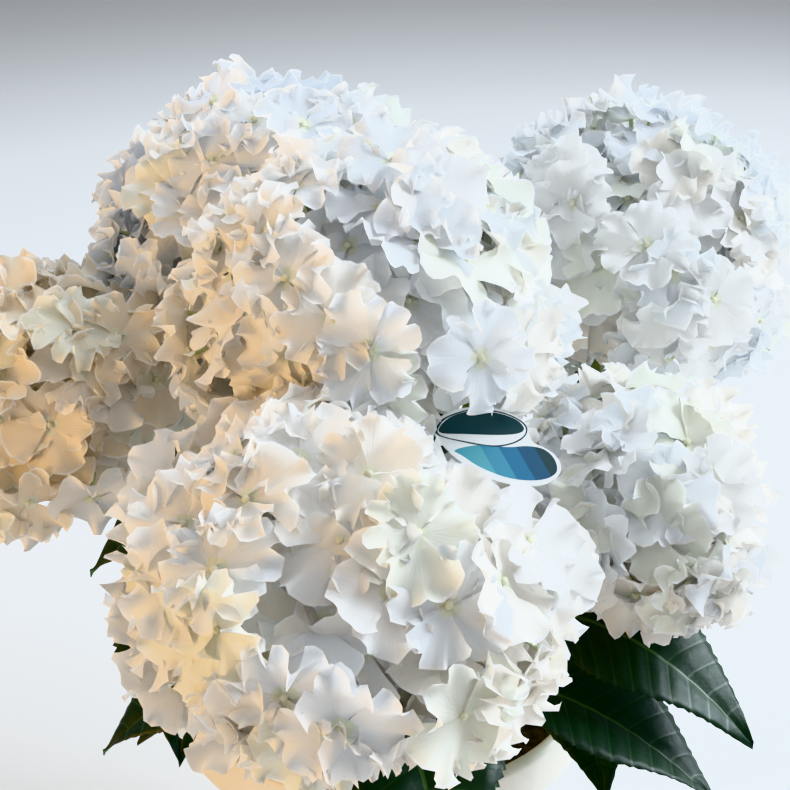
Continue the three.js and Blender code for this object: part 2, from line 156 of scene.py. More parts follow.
def add_piece(name, mesh, finishes, slot, *nodes):
    """A finished piece: its materials, the body it rides on and the solids it stands for."""
    piece = bpy.data.objects.new(name, mesh)
    bpy.context.collection.objects.link(piece)
    for finish in finishes:
        mesh.materials.append(finish.material)
    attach(piece, "root")
    if nodes:
        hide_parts(*nodes)
    return piece


def to_mesh(name, shape, smooth=True):
    """Turns a bmesh in millimetres into a mesh in metres."""
    bmesh.ops.scale(shape, vec=(MM, MM, MM), verts=shape.verts)
    mesh = bpy.data.meshes.new(name)
    shape.to_mesh(mesh)
    shape.free()
    for face in mesh.polygons:
        face.use_smooth = smooth
    return mesh


def inner_radius(z):
    if z > SHOULDER:
        return COLLAR_RADIUS - COLLAR_WALL - (POT_HEIGHT - z) * COLLAR_DRAFT
    share = (z - POT_FLOOR) / (SHOULDER - POT_FLOOR)
    return FOOT_RADIUS - BODY_WALL + (BODY_TOP_RADIUS - FOOT_RADIUS) * share


def arc(centre, radius, start, end, steps):
    turns = [math.radians(start + (end - start) * i / steps) for i in range(steps + 1)]
    return [(centre[0] + radius * math.cos(t), centre[1] + radius * math.sin(t)) for t in turns]


def turned(profile, steps):
    """A closed lathe shape from a profile of (radius, height) that starts and ends on the axis."""
    shape = bmesh.new()
    verts = [shape.verts.new((x, 0, z)) for x, z in profile]
    edges = [shape.edges.new(pair) for pair in zip(verts, verts[1:])]
    bmesh.ops.spin(
        shape, geom=verts + edges, axis=(0, 0, 1), cent=(0, 0, 0), steps=steps,
        angle=2 * math.pi, use_merge=True, use_duplicate=False,
    )
    bmesh.ops.remove_doubles(shape, verts=shape.verts, dist=0.001)
    bmesh.ops.recalc_face_normals(shape, faces=shape.faces)
    return shape


lip = COLLAR_WALL / 2
body_wall = [
    (FOOT_RADIUS + (BODY_TOP_RADIUS - FOOT_RADIUS) * i / BODY_RINGS, CORNER + (SHOULDER - 8) * i / BODY_RINGS)
    for i in range(1, BODY_RINGS + 1)
]
collar_face = [
    (
        COLLAR_RADIUS - COLLAR_HOLLOW * math.sin(math.pi * i / COLLAR_RINGS),
        SHOULDER + CORNER + (COLLAR_HEIGHT - 6.5) * i / COLLAR_RINGS,
    )
    for i in range(1, COLLAR_RINGS)
]
pot_profile = [
    (0, FOOT_RING_HEIGHT), (FOOT_RADIUS - 12, FOOT_RING_HEIGHT), (FOOT_RADIUS - 9, 0),
    (FOOT_RADIUS - CORNER, 0),
    *arc((FOOT_RADIUS - CORNER, CORNER), CORNER, -75, -8, 5),
    *body_wall,
    *arc((BODY_TOP_RADIUS + 3.5, SHOULDER - 3.6), 3.4, 172, 100, 5),
    *arc((COLLAR_RADIUS - CORNER, SHOULDER + CORNER), CORNER, -88, 0, 6),
    *collar_face,
    *arc((COLLAR_RADIUS - lip, POT_HEIGHT - lip), lip, 0, 180, 12),
    (inner_radius(SHOULDER + LEDGE_RISE), SHOULDER + LEDGE_RISE),
    (inner_radius(SHOULDER), SHOULDER),
    (inner_radius(POT_FLOOR), POT_FLOOR),
    (0, POT_FLOOR),
]
pot_shape = turned(pot_profile, POT_SIDES)
for vert in pot_shape.verts:
    throwing = noise.noise(Vector((vert.co.x, vert.co.y, vert.co.z * 2.5)) * 0.02)
    radial = Vector((vert.co.x, vert.co.y, 0)).normalized()
    if vert.co.z > 4:
        vert.co += radial * throwing * THROWING_MARKS
glaze = Finish("cream glaze", (0.80, 0.74, 0.64), 0.3, Coat_Weight=0.35, Coat_Roughness=0.12)
cloudy = glaze.ramp(glaze.grain(9, 4), 0.35, 0.7)
specks = glaze.ramp(glaze.grain(420, 2), 0.7, 0.78)
pooled = cloudy * 0.8 + specks * 0.5
glaze.feed("Base Color", glaze.blend(pooled, (0.82, 0.77, 0.68), (0.66, 0.56, 0.42)))
glaze.feed("Roughness", 0.24 + glaze.grain(60) * 0.16)
glaze.relief(glaze.grain(70, 2) + glaze.grain(300, 2) * 0.15, 0.0006)
add_piece("glazed_pot", to_mesh("glazed_pot", pot_shape), [glaze], "glaze", "pot")

# Soil
# Damp, dark potting compost that fills the pot to just under its rim. It is loose and crumbly,
# and rises a little towards the plant's woody crown.
SOIL_EDGE_LEVEL = 156
SOIL_CROWN_LEVEL = 162
SOIL_SEAT_RADIUS = 24
SOIL_RINGS = 44
SOIL_SIDES = 128
CRUMB_COUNT = 260
CRUMB_SEED = 5
CLEARANCE = 0.3


def soil_level(x, y):
    edge = inner_radius(SOIL_EDGE_LEVEL)
    share = min(1, max(0, (math.hypot(x, y) - SOIL_SEAT_RADIUS) / (edge - SOIL_SEAT_RADIUS)))
    crumbs = noise.fractal(Vector((x, y, 3.1)) * 0.09, 0.9, 2.1, 4)
    return SOIL_CROWN_LEVEL - 0.4 - (SOIL_CROWN_LEVEL - SOIL_EDGE_LEVEL) * share + crumbs * 1.3


soil_edge = inner_radius(SOIL_EDGE_LEVEL) - CLEARANCE
soil_profile = [
    (0, POT_FLOOR + CLEARANCE), (inner_radius(POT_FLOOR) - CLEARANCE, POT_FLOOR + CLEARANCE),
    (inner_radius(SHOULDER) - CLEARANCE, SHOULDER),
    (inner_radius(SHOULDER + LEDGE_RISE) - CLEARANCE, SHOULDER + LEDGE_RISE),
    *[(soil_edge * (1 - i / SOIL_RINGS), SOIL_EDGE_LEVEL) for i in range(SOIL_RINGS + 1)],
]
soil_shape = turned(soil_profile, SOIL_SIDES)
for vert in soil_shape.verts:
    if vert.co.z > SOIL_EDGE_LEVEL - 0.5:
        vert.co.z = soil_level(vert.co.x, vert.co.y)
crumb_random = np.random.default_rng(CRUMB_SEED)
for _ in range(CRUMB_COUNT):
    reach = soil_edge * 0.95 * math.sqrt(crumb_random.random())
    turn = crumb_random.random() * 2 * math.pi
    size = 0.8 + 1.7 * crumb_random.random() ** 2
    x, y = reach * math.cos(turn), reach * math.sin(turn)
    squash = Matrix.Diagonal((size, size * (0.6 + 0.4 * crumb_random.random()), size * 0.7, 1))
    spin = Matrix.Rotation(turn * 7, 4, "Z")
    bmesh.ops.create_icosphere(
        soil_shape, subdivisions=1, radius=1,
        matrix=Matrix.Translation((x, y, soil_level(x, y) + size * 0.2)) @ spin @ squash,
    )
compost = Finish("damp compost", (0.04, 0.028, 0.02), 0.95)
fibres = compost.ramp(compost.grain(160, 5), 0.42, 0.72)
compost.feed("Base Color", compost.blend(fibres, (0.018, 0.012, 0.009), (0.10, 0.068, 0.043)))
compost.feed("Roughness", 0.75 + compost.grain(90) * 0.25)
compost.relief(compost.grain(420, 6), 0.0015)
add_piece("potting_compost", to_mesh("potting_compost", soil_shape), [compost], "compost", "soil")

# Stems
# Smooth green stems, one to a flower head, that curve up and out from the woody crown and taper
# evenly. Each leaf joint is a slight swelling, and short pale breathing pores mark the skin.
ARM_ROOT_HEIGHT = 10
ARM_LENGTH = 38
ARM_OFFSET = 4
STEM_FOOT_RADIUS = 5
STEM_TIP_RADIUS = 3.4
PULL_AT_CROWN = 0.4
PULL_AT_TIP = 0.32
LEAFY_STRETCH = 62
HEAD_STALK = 16
HEAD_DEPTH = 0.16
HEAD_SEAT = 0.8
CORE_SHARE = 0.66
BARE_LEAST = 16
SHOOT_BARE = 6
SHOOT_TIP_RISE = 30
PAIR_STEP = 27
TOP_PAIR_BELOW = 10
RING_STEP = 2.0
STEM_SIDES = 14
JOINT_SWELLING = 0.7
JOINT_REACH = 3.5
# Each head's warm, mixed, cool or blue setting picks its mix of sepal tints, and partly stands for painted
# light: warm for the warm-lit left head, cool for the heads in cool light on the right and at the back, blue
# for painted shade on the head at the top and back.
HEADS = [
    dict(name="front", tone="mixed", at=(-12, -152, 328), radius=92, flatness=0.72, lean_to=-95, lean=24,
         arm_to=-92, arm_rise=46, leaf_turn=18),
    dict(name="right_front", tone="mixed", at=(116, -46, 292), radius=64, flatness=0.95, lean_to=-20, lean=36,
         arm_to=-20, arm_rise=48, leaf_turn=-118),
    dict(name="left", tone="warm", at=(-157, 40, 304), radius=85, flatness=0.82, lean_to=166, lean=20,
         arm_to=168, arm_rise=48, leaf_turn=185),
    dict(name="top_front", tone="mixed", at=(-5, -41, 386), radius=89, flatness=0.88, lean_to=-90, lean=8,
         arm_to=-125, arm_rise=80, leaf_turn=20),
    dict(name="top_right", tone="cool", at=(130, 117, 350), radius=90, flatness=0.95, lean_to=40, lean=16,
         arm_to=46, arm_rise=68, leaf_turn=-50),
    dict(name="top_back", tone="blue", at=(-60, 92, 381), radius=88, flatness=0.82, lean_to=176, lean=20,
         arm_to=145, arm_rise=74, leaf_turn=120),
    dict(name="right", tone="cool", at=(138, 50, 246), radius=52, flatness=0.85, lean_to=20, lean=34,
         arm_to=16, arm_rise=44, leaf_turn=10),
    dict(name="back", tone="cool", at=(56, 186, 278), radius=78, flatness=0.82, lean_to=72, lean=26,
         arm_to=76, arm_rise=46, leaf_turn=60),
    dict(name="back_left", tone="mixed", at=(-96, 180, 270), radius=76, flatness=0.82, lean_to=118, lean=26,
         arm_to=116, arm_rise=46, leaf_turn=160),
]
SHOOTS = [
    dict(name="front_right", tip=(56, -74, 212), arm_to=-54, arm_rise=48, leaf_turn=62),
    dict(name="front_left", tip=(-40, -44, 210), arm_to=-146, arm_rise=56, leaf_turn=-147),
    dict(name="middle", tip=(36, 62, 332), arm_to=20, arm_rise=84, leaf_turn=10),
    dict(name="back_left", tip=(-62, 66, 228), arm_to=140, arm_rise=44, leaf_turn=175),
    dict(name="back_right", tip=(76, 74, 226), arm_to=46, arm_rise=40, leaf_turn=20),
]


def direction(azimuth, rise):
    flat = math.cos(math.radians(rise))
    x = flat * math.cos(math.radians(azimuth))
    y = flat * math.sin(math.radians(azimuth))
    return Vector((x, y, math.sin(math.radians(rise))))


def frame_on(axis):
    """A frame whose third axis is the given direction and whose first is as level as it can be."""
    third = axis.normalized()
    guide = Vector((0, 1, 0)) if abs(third.z) > 0.999 else Vector((0, 0, 1))
    first = guide.cross(third).normalized()
    return Matrix((first, third.cross(first), third)).transposed().to_4x4()


class Stem:
    """The run of one stem, from inside the woody crown to the point that it carries."""

    def __init__(self, spec, end, end_axis):
        root = direction(spec["arm_to"], 0) * ARM_OFFSET
        root.z = SOIL_CROWN_LEVEL + CLEARANCE + ARM_ROOT_HEIGHT
        way = (root - end).length
        leave = root + direction(spec["arm_to"], spec["arm_rise"]) * way * PULL_AT_CROWN
        arrive = end - end_axis * way * PULL_AT_TIP
        t = np.linspace(0, 1, 401)[:, None]
        weights = [(1 - t) ** 3, 3 * t * (1 - t) ** 2, 3 * t * t * (1 - t), t ** 3]
        self.points = sum(w * np.array(p) for w, p in zip(weights, (root, leave, arrive, end)))
        steps = np.linalg.norm(np.diff(self.points, axis=0), axis=1)
        self.lengths = np.concatenate([[0], np.cumsum(steps)])
        self.whole = self.lengths[-1]

    def at(self, along):
        return Vector([np.interp(along, self.lengths, self.points[:, i]) for i in range(3)])

    def radius(self, along):
        return STEM_FOOT_RADIUS + (STEM_TIP_RADIUS - STEM_FOOT_RADIUS) * along / self.whole


for head in HEADS:
    axis = direction(head["lean_to"], 90 - head["lean"])
    below = head["radius"] * head["flatness"] * CORE_SHARE * HEAD_SEAT
    stem = Stem(head, Vector(head["at"]) - axis * below, axis)
    head["stem"] = stem
    head["leaf_to"] = stem.whole - HEAD_STALK - head["radius"] * HEAD_DEPTH
    head["leaf_from"] = max(head["leaf_to"] - LEAFY_STRETCH, ARM_LENGTH + BARE_LEAST)
for shoot in SHOOTS:
    stem = Stem(shoot, Vector(shoot["tip"]), direction(shoot["arm_to"], SHOOT_TIP_RISE))
    shoot["stem"] = stem
    shoot["leaf_to"] = stem.whole
    shoot["leaf_from"] = max(stem.whole - LEAFY_STRETCH, ARM_LENGTH + SHOOT_BARE)


def leaf_nodes(spec):
    """Where each leaf leaves its stem: how far along, and which way it points."""
    pairs = max(1, math.floor((spec["leaf_to"] - spec["leaf_from"]) / PAIR_STEP + 0.5))
    for pair in range(pairs):
        along = spec["leaf_to"] - TOP_PAIR_BELOW - pair * PAIR_STEP
        for side in (0, 180):
            yield along, spec["leaf_turn"] + side + pair * 90


def add_tube(shape, path, radii, sides):
    """A tube of rings round a path: a flat grid whose edges are wrapped together and closed."""
    made = bmesh.ops.create_grid(shape, x_segments=sides, y_segments=len(path) - 1, size=0.5)
    ring_frames = [frame_on(path[min(i + 1, len(path) - 1)] - path[max(i - 1, 0)]) for i in range(len(path))]
    for vert in made["verts"]:
        turn = 2 * math.pi * (vert.co.x + 0.5)
        ring = round((vert.co.y + 0.5) * (len(path) - 1))
        around = Vector((math.cos(turn), math.sin(turn), 0)) * radii[ring]
        vert.co = path[ring] + ring_frames[ring].to_3x3() @ around
    bmesh.ops.remove_doubles(shape, verts=made["verts"], dist=0.001)


stems_shape = bmesh.new()
for spec in HEADS + SHOOTS:
    stem = spec["stem"]
    lengths = np.arange(ARM_LENGTH - 1.5, stem.whole, RING_STEP)
    swellings = np.zeros(len(lengths))
    for along, azimuth in leaf_nodes(spec):
        swellings += JOINT_SWELLING * np.exp(-((lengths - along) / JOINT_REACH) ** 2)
    path = [stem.at(along) for along in lengths]
    radii = [stem.radius(along) + swelling for along, swelling in zip(lengths, swellings)]
    add_tube(stems_shape, path, radii, STEM_SIDES)
for vert in stems_shape.verts:
    vert.co += vert.normal * noise.noise(vert.co * 0.35) * 0.25
bmesh.ops.recalc_face_normals(stems_shape, faces=stems_shape.faces)
stem_skin = Finish("green stem skin", (0.2, 0.3, 0.1), 0.45)
streaks = stem_skin.grain(120, 3, (1, 1, 0.25))
pores = stem_skin.ramp(stem_skin.grain(520, 2, (1, 1, 0.4)), 0.66, 0.74)
marks = streaks * 0.7 + pores * 0.5
stem_skin.feed("Base Color", stem_skin.blend(marks, (0.13, 0.24, 0.07), (0.42, 0.46, 0.22)))
stem_skin.relief(streaks + pores * 0.4, 0.0004)
stem_nodes = ["stem_" + head["name"] for head in HEADS]
add_piece("green_stems", to_mesh("green_stems", stems_shape), [stem_skin], "green_stem", *stem_nodes)

# Woody crown
# The old wood at soil level: a short brown stump that flares to the soil and forks into one arm for
# each stem. Its bark is thin and grey brown, and peels in fine vertical strips.
crown_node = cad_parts["woody_crown"]
crown_shape = bmesh.new()
crown_shape.from_mesh(crown_node.data)
bmesh.ops.remove_doubles(crown_shape, verts=crown_shape.verts, dist=0.00001)
crown_mesh = bpy.data.meshes.new("woody_crown_bark")
crown_shape.to_mesh(crown_mesh)
crown_shape.free()
bark = Finish("peeling bark", (0.28, 0.21, 0.13), 0.85)
strips = bark.grain(110, 5, (1, 1, 0.22))
bark.feed("Base Color", bark.blend(bark.ramp(strips, 0.35, 0.68), (0.11, 0.075, 0.045), (0.40, 0.32, 0.22)))
bark.feed("Roughness", 0.7 + strips * 0.25)
bark.relief(strips + bark.grain(500, 3) * 0.2, 0.0012)
crown_piece = add_piece("woody_crown_bark", crown_mesh, [bark], "bark", "woody_crown")
BARK_GRID = 0.0011
RIDGE_DEPTH = 0.0005
SMOOTHINGS = 2
remesh = crown_piece.modifiers.new("even skin", "REMESH")
remesh.mode = "VOXEL"
remesh.voxel_size = BARK_GRID
remesh.use_smooth_shade = True
even = bpy.data.meshes.new_from_object(crown_piece.evaluated_get(bpy.context.evaluated_depsgraph_get()))
crown_piece.modifiers.clear()
crown_piece.data = even
bark_shape = bmesh.new()
bark_shape.from_mesh(even)
for _ in range(SMOOTHINGS):
    bmesh.ops.smooth_vert(
        bark_shape, verts=bark_shape.verts, factor=0.5, use_axis_x=True, use_axis_y=True, use_axis_z=True,
    )
bark_shape.normal_update()
for vert in bark_shape.verts:
    ridge = noise.noise(Vector((vert.co.x * 420, vert.co.y * 420, vert.co.z * 90)))
    vert.co += vert.normal * (RIDGE_DEPTH * ridge)
bark_shape.to_mesh(even)
bark_shape.free()

# Leaves
# Broad dark green leaves in opposite pairs: toothed, drawn out to a point, quilted between their side
# veins, with a paler midrib and veins and a lighter, duller underside. Each stands on a short stalk.
# The upper side and its veins are dark green of their own, darkened further as painted shade.
LEAF_LENGTH = 106
LEAF_WIDTH = 66
PETIOLE_LENGTH = 24
PETIOLE_RADIUS = 2
LEAF_RISE = 0.14
LEAF_DROOP = 0.5
LEAF_FOLD = 0.16
PETIOLE_RISE = 14
LEAF_SIZES = (1, 0.8, 0.62)
SIDE_VEINS = 9
VEIN_STRIP = 0.011
VEIN_SWEEP = 0.24
LEAF_QUILT = 1.1
FIRST_VEIN = 0.05
VEIN_STEP = 0.1
TOOTH_TIP = 0.045
TOOTH_NOTCH = -0.015
MARGIN_WAVE = 2.2
MIDRIB_GROOVE = -1.0
STALK_STEPS = 8
STALK_SIDES = 8
STALK_SAG = 1.2
BLADE_THICKNESS = 0.0005
TIP_NEARNESS = 0.0012
LEAF_SEED = 21
leaf_random = np.random.default_rng(LEAF_SEED)
leaf_columns = [-1, -0.82, -0.63, -0.43, -0.22, -0.03, 0.03, 0.22, 0.43, 0.63, 0.82, 1]
leaf_rows = [0]
for vein in range(SIDE_VEINS):
    start = FIRST_VEIN + VEIN_STEP * vein
    leaf_rows += [start, start + VEIN_STRIP, start + 0.04, start + 0.07]
leaf_rows += [0.955, 1]


def leaf_half_width(v):
    swell = math.sin(math.pi * v ** 0.72) ** 0.85
    return swell * (1 - 0.3 * max(0, (v - 0.6) / 0.4) ** 1.2)


def tip_of(stem, along, azimuth, size):
    heading = direction(azimuth, PETIOLE_RISE)
    joint = stem.at(along) + heading * (PETIOLE_LENGTH + STEM_TIP_RADIUS)
    lift = LEAF_RISE - LEAF_DROOP
    level = Vector((heading.x, heading.y, 0)).normalized()
    tip = joint + level * LEAF_LENGTH * size * math.cos(lift * 0.6)
    tip.z += LEAF_LENGTH * size * lift
    return joint, tip


def leaf_size(node, stem, along, azimuth):
    """The size at which the leaf's tip is a corner of the solid, or nothing where it was left out."""
    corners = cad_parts[node].data.vertices
    for size in LEAF_SIZES:
        tip = tip_of(stem, along, azimuth, size)[1] * MM
        if any((corner.co - tip).length < TIP_NEARNESS for corner in corners):
            return size
    return None


def blade_faces(shape):
    """The faces of the newest blade, in the order of its columns and rows."""
    shape.faces.ensure_lookup_table()
    count = (len(leaf_columns) - 1) * (len(leaf_rows) - 1)
    return shape.faces[len(shape.faces) - count:]


def add_leaf(shape, joint, azimuth, size):
    """One blade: a grid bent into chevron rows that follow the side veins out to a toothed edge."""
    made = bmesh.ops.create_grid(
        shape, x_segments=len(leaf_columns) - 1, y_segments=len(leaf_rows) - 1, size=0.5,
    )
    level = direction(azimuth, 0)
    across = Vector((0, 0, 1)).cross(level)
    length = LEAF_LENGTH * size
    half = LEAF_WIDTH * size * 0.5
    twist = leaf_random.uniform(-0.12, 0.12)
    bend = leaf_random.uniform(-0.08, 0.08)
    phase = leaf_random.uniform(0, 6)
    for vert in made["verts"]:
        column = round((vert.co.x + 0.5) * (len(leaf_columns) - 1))
        row = round((vert.co.y + 0.5) * (len(leaf_rows) - 1))
        u = leaf_columns[column]
        s = leaf_rows[row]
        v = s + VEIN_SWEEP * abs(u) * (1 - s)
        margin = s + VEIN_SWEEP * (1 - s)
        width = half * leaf_half_width(margin) if s < 1 else 0
        toothed = abs(u) > 0.9 and 0 < row < len(leaf_rows) - 2
        tooth = (TOOTH_TIP if row % 2 else TOOTH_NOTCH) * toothed
        side = u * width * (1 + tooth)
        between = abs(((s - FIRST_VEIN) / VEIN_STEP) % 1)
        swell = math.sqrt(max(0, 4 * abs(u) * (1 - abs(u))))
        quilt = LEAF_QUILT * math.sin(math.pi * min(1, between)) * swell
        groove = MIDRIB_GROOVE if abs(u) < 0.05 else 0
        wave = MARGIN_WAVE * math.sin(v * 9 + phase) * u * u * math.copysign(1, u)
        lift = LEAF_RISE * v - LEAF_DROOP * v * v
        spot = joint + level * (length * v * math.cos(lift * 0.6))
        spot = spot + across * (side + bend * length * v * v)
        fold = abs(side) * LEAF_FOLD
        spot.z += length * lift + fold + side * twist * 1.5 + (quilt + wave + groove) * size
        vert.co = spot
    midrib = len(leaf_columns) // 2 - 1
    for index, face in enumerate(blade_faces(shape)):
        column = index % (len(leaf_columns) - 1)
        row = index // (len(leaf_columns) - 1)
        on_vein = row > 0 and (row - 1) % 4 == 0 and row < 4 * SIDE_VEINS
        face.material_index = 2 if column == midrib else int(on_vein)
    bmesh.ops.reverse_faces(shape, faces=blade_faces(shape))
    bmesh.ops.remove_doubles(shape, verts=made["verts"], dist=0.01)


blades = bmesh.new()
petioles = bmesh.new()
for spec in HEADS + SHOOTS:
    stem = spec["stem"]
    node = ("shoot_" if "tip" in spec else "foliage_") + spec["name"]
    for along, azimuth in leaf_nodes(spec):
        size = leaf_size(node, stem, along, azimuth)
        if not size:
            continue
        joint = tip_of(stem, along, azimuth, size)[0]
        heading = direction(azimuth, PETIOLE_RISE)
        add_leaf(blades, joint, azimuth, size)
        into_blade = joint + heading * LEAF_LENGTH * size * 0.1
        run = [stem.at(along).lerp(into_blade, i / STALK_STEPS) for i in range(STALK_STEPS + 1)]
        for i, spot in enumerate(run):
            spot.z -= STALK_SAG * math.sin(math.pi * i / STALK_STEPS)
        radii = [PETIOLE_RADIUS * (1.5 - 0.1 * i) for i in range(STALK_STEPS + 1)]
        add_tube(petioles, run, radii, STALK_SIDES)
bmesh.ops.recalc_face_normals(petioles, faces=petioles.faces)
# Painted shade: the top, its mottle and its veins are darkened beyond the leaf's own green, for the shade
# under the heads.
leaf_top = Finish("leaf green", (0.008, 0.023, 0.009), 0.44, Specular_IOR_Level=0.3)
mottle = leaf_top.grain(70, 4)
leaf_top.feed("Base Color", leaf_top.blend(mottle, (0.005, 0.017, 0.007), (0.013, 0.033, 0.012)))
leaf_top.feed("Roughness", 0.4 + leaf_top.grain(240) * 0.16)
leaf_top.relief(leaf_top.grain(320, 2), 0.0002)
side_vein = Finish("leaf side vein", (0.016, 0.040, 0.015), 0.46)
midrib_skin = Finish("leaf midrib", (0.05, 0.095, 0.03), 0.46)
leaf_under = Finish("leaf underside", (0.09, 0.19, 0.08), 0.6)
under_vein = Finish("underside vein", (0.2, 0.32, 0.15), 0.6)
foliage_nodes = ["foliage_" + head["name"] for head in HEADS]
foliage_nodes += ["shoot_" + shoot["name"] for shoot in SHOOTS]
leaf_finishes = [leaf_top, side_vein, midrib_skin, leaf_under, under_vein, under_vein]
leaves = add_piece("leaf_blades", to_mesh("leaf_blades", blades), leaf_finishes, "foliage", *foliage_nodes)
thickness = leaves.modifiers.new("blade thickness", "SOLIDIFY")
thickness.thickness = BLADE_THICKNESS
thickness.offset = -1
thickness.material_offset = 3
add_piece("leaf_stalks", to_mesh("leaf_stalks", petioles), [stem_skin], "green_stem")

# Flower heads
# Round mopheads of sterile florets. A floret is four broad papery sepals, white to ivory with a
# greenish heart, whose margins are ruffled and curl over their neighbours, round a small hard bud.
# The sepal tints dealt to the heads are partly painted light and shade, set head by head.
FLORET_RADIUS = 23.5
FLORET_SINK = 10
FLORET_SHARE = 780
HEAD_SPREAD = 128
GOLDEN_ANGLE = math.pi * (3 - math.sqrt(5))
SPIRAL_LOOSENESS = 0.3
FLORET_TILT = 16
FIRST_SEED = 11
INNER_SEED = 61
DEPTHS = (1, 0.95, 0.9, 0.8)
CURLS = (1.35, 1.05, 0.7, 0.4)
INNER_SHARE = 1250
INNER_DEPTH = 0.73
INNER_CURL = 0.3
ROOM_STEP = 0.04
LEAST_SHARE = 0.5
LABEL_CENTRE = (47, -98, 350)
LABEL_FACES = -80
LABEL_TILT = 48
LABEL_TURN = -14
LABEL_WIDTH = 56
LABEL_HEIGHT = 33
LABEL_ROOM = 17
LABEL_CLEAR = 26
LABEL_OVER = 2
label_frame = (
    Matrix.Translation(LABEL_CENTRE) @ frame_on(direction(LABEL_FACES, LABEL_TILT))
    @ Matrix.Rotation(math.radians(LABEL_TURN), 4, "Z")
)
sight = Vector([place / MM for place in CAMERA_PLACE]) - Vector(LABEL_CENTRE)


def seeded_random(seed):
    state = seed
    while True:
        state = (state * 1664525 + 1013904223) % 4294967296
        yield state / 4294967296


for head in HEADS:
    axis = direction(head["lean_to"], 90 - head["lean"])
    head["frame"] = Matrix.Translation(head["at"]) @ frame_on(axis)
    head["inverse"] = head["frame"].inverted()


def level_in(head, point):
    """How far out a point lies in a head's own space: 1 on its outline."""
    inside = head["inverse"] @ point
    inside.z /= head["flatness"]
    return inside.length / head["radius"]


def hides_label(point):
    """Whether a floret here would hide the label from the front or cut it."""
    on_label = label_frame.inverted() @ point
    to_front = label_frame.inverted().to_3x3() @ sight
    seen = on_label - to_front * (on_label.z / to_front.z)
    across = seen.x / (LABEL_WIDTH / 2 + LABEL_ROOM)
    up = seen.y / (LABEL_HEIGHT / 2 + LABEL_ROOM)
    beyond_side = max(0, abs(on_label.x) - LABEL_WIDTH / 2)
    beyond_end = max(0, abs(on_label.y) - LABEL_HEIGHT / 2)
    distance = Vector((beyond_side, beyond_end, on_label.z)).length
    cuts = on_label.z < LABEL_OVER and distance < LABEL_CLEAR
    return cuts or (across ** 2 + up ** 2 < 1 and on_label.z > -LABEL_ROOM)


def floret_places(head, seed, room=FLORET_SHARE, depths=DEPTHS, curls=CURLS):
    """Florets in a golden-angle spiral from the head's top to below its widest part."""
    random = seeded_random(seed)
    spread = 1 - math.cos(math.radians(HEAD_SPREAD))
    area = 2 * math.pi * head["radius"] ** 2 * spread * (0.35 + 0.65 * head["flatness"])
    count = round(area / room)
    for i in range(count):
        polar = math.acos(1 - spread * (i + 0.5) / count)
        turn = i * GOLDEN_ANGLE + next(random) * SPIRAL_LOOSENESS
        spin = next(random) * math.pi
        tilt = Matrix.Rotation(math.radians(FLORET_TILT) * (next(random) - 0.5) * 2, 4, "X")
        tilt @= Matrix.Rotation(math.radians(FLORET_TILT) * (next(random) - 0.5) * 2, 4, "Y")
        ray = direction(math.degrees(turn), 90 - math.degrees(polar))
        facing = frame_on(Vector((ray.x, ray.y, ray.z / head["flatness"])))
        share = depths[i % len(depths)]
        while share > LEAST_SHARE:
            reach = head["radius"] * share - FLORET_SINK
            centre = Vector((ray.x * reach, ray.y * reach, ray.z * reach * head["flatness"]))
            spot = head["frame"] @ centre
            own = level_in(head, spot)
            alone = all(other is head or level_in(other, spot) > own for other in HEADS)
            if alone and not hides_label(spot):
                break
            share -= ROOM_STEP
        else:
            continue
        turned_frame = head["frame"] @ Matrix.Translation(centre) @ facing @ tilt
        yield turned_frame @ Matrix.Rotation(spin, 4, "Z"), curls[i % len(curls)]


SEPAL_COLUMNS = 18
SEPAL_ROWS = (0, 0.2, 0.42, 0.6, 0.74, 0.86, 0.95, 1)
INNER_COLUMNS = 12
INNER_ROWS = (0, 0.4, 0.7, 0.94, 1)
SEPAL_LENGTHS = (0.9, 1.1)
SEPAL_HALF_ANGLES = (49, 60)
ROLL_STARTS = (0.42, 0.66)
RUFFLES = (2.0, 3.5)
ANY_PHASE = (0, 6.28)
HEART_ENDS = 0.15
# The outermost strip of each sepal is paler: a painted highlight along the rim.
RIM_HIGHLIGHT_STARTS = 0.96
SLOT_HEART = 6
SLOT_RIM_HIGHLIGHT = 7
LIGHT_THROUGH = 0.3


class SepalGrid:
    """Corners and faces of one flat sepal: across its width, and out from the floret's heart."""

    def __init__(self, columns, rows):
        shape = bmesh.new()
        bmesh.ops.create_grid(shape, x_segments=columns, y_segments=len(rows) - 1, size=0.5)
        self.columns = columns
        self.across = np.array([vert.co.x * 2 for vert in shape.verts])
        evenly = np.array([vert.co.y + 0.5 for vert in shape.verts])
        self.out = np.interp(evenly, np.linspace(0, 1, len(rows)), rows)
        self.faces = np.array([[vert.index for vert in reversed(face.verts)] for face in shape.faces])
        self.order = np.lexsort((self.across, self.out)).reshape(len(rows), columns + 1)
        shape.free()


def joined(name, corners, faces, slots):
    """One mesh from many copies of a small shape: corners per copy, one list of faces, slots per face."""
    copies, each = corners.shape[:2]
    mesh = bpy.data.meshes.new(name)
    mesh.vertices.add(copies * each)
    mesh.vertices.foreach_set("co", (corners * MM).ravel())
    all_faces = (faces[None] + (np.arange(copies) * each)[:, None, None]).reshape(-1, faces.shape[1])
    sides = faces.shape[1]
    mesh.loops.add(all_faces.size)
    mesh.loops.foreach_set("vertex_index", all_faces.ravel())
    mesh.polygons.add(len(all_faces))
    mesh.polygons.foreach_set("loop_start", np.arange(len(all_faces)) * sides)
    mesh.polygons.foreach_set("material_index", slots.ravel())
    mesh.polygons.foreach_set("use_smooth", np.ones(len(all_faces), dtype=bool))
    mesh.update(calc_edges=True)
    return mesh


